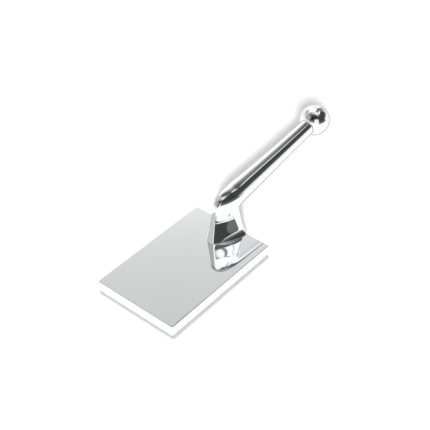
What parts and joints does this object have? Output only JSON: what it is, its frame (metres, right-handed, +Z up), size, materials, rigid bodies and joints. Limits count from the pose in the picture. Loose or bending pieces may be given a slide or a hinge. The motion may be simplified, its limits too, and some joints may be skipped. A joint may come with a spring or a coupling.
{
  "type": "offset-handle meat pounder",
  "caption": "Hand tool with a thick flat rectangular plate, a cranked neck standing on its rear end, and a tapered round grip ending in a ball.",
  "frame": {"origin": "centre of the plate's flat underside, the pounding face", "axes": "+X from the plate's front edge towards the ball at the end of the grip, +Y to the left of the grip, +Z up, out of the top of the plate"},
  "size_m": [0.2578, 0.081, 0.073],
  "materials": {
    "plate_metal": "mirror polished, with faint fine scratches",
    "handle_metal": "mirror polished casting, very slightly wavy",
    "ball_metal": "mirror polished",
    "fastener_steel": "turned and ground stainless steel"
  },
  "bodies": {
    "root": {"plate": "plate_metal", "handle": "handle_metal", "ball_knob": "ball_metal", "ball_stud": "fastener_steel", "foot_screws": "fastener_steel", "dowel_pins": "fastener_steel"}
  },
  "joints": []
}
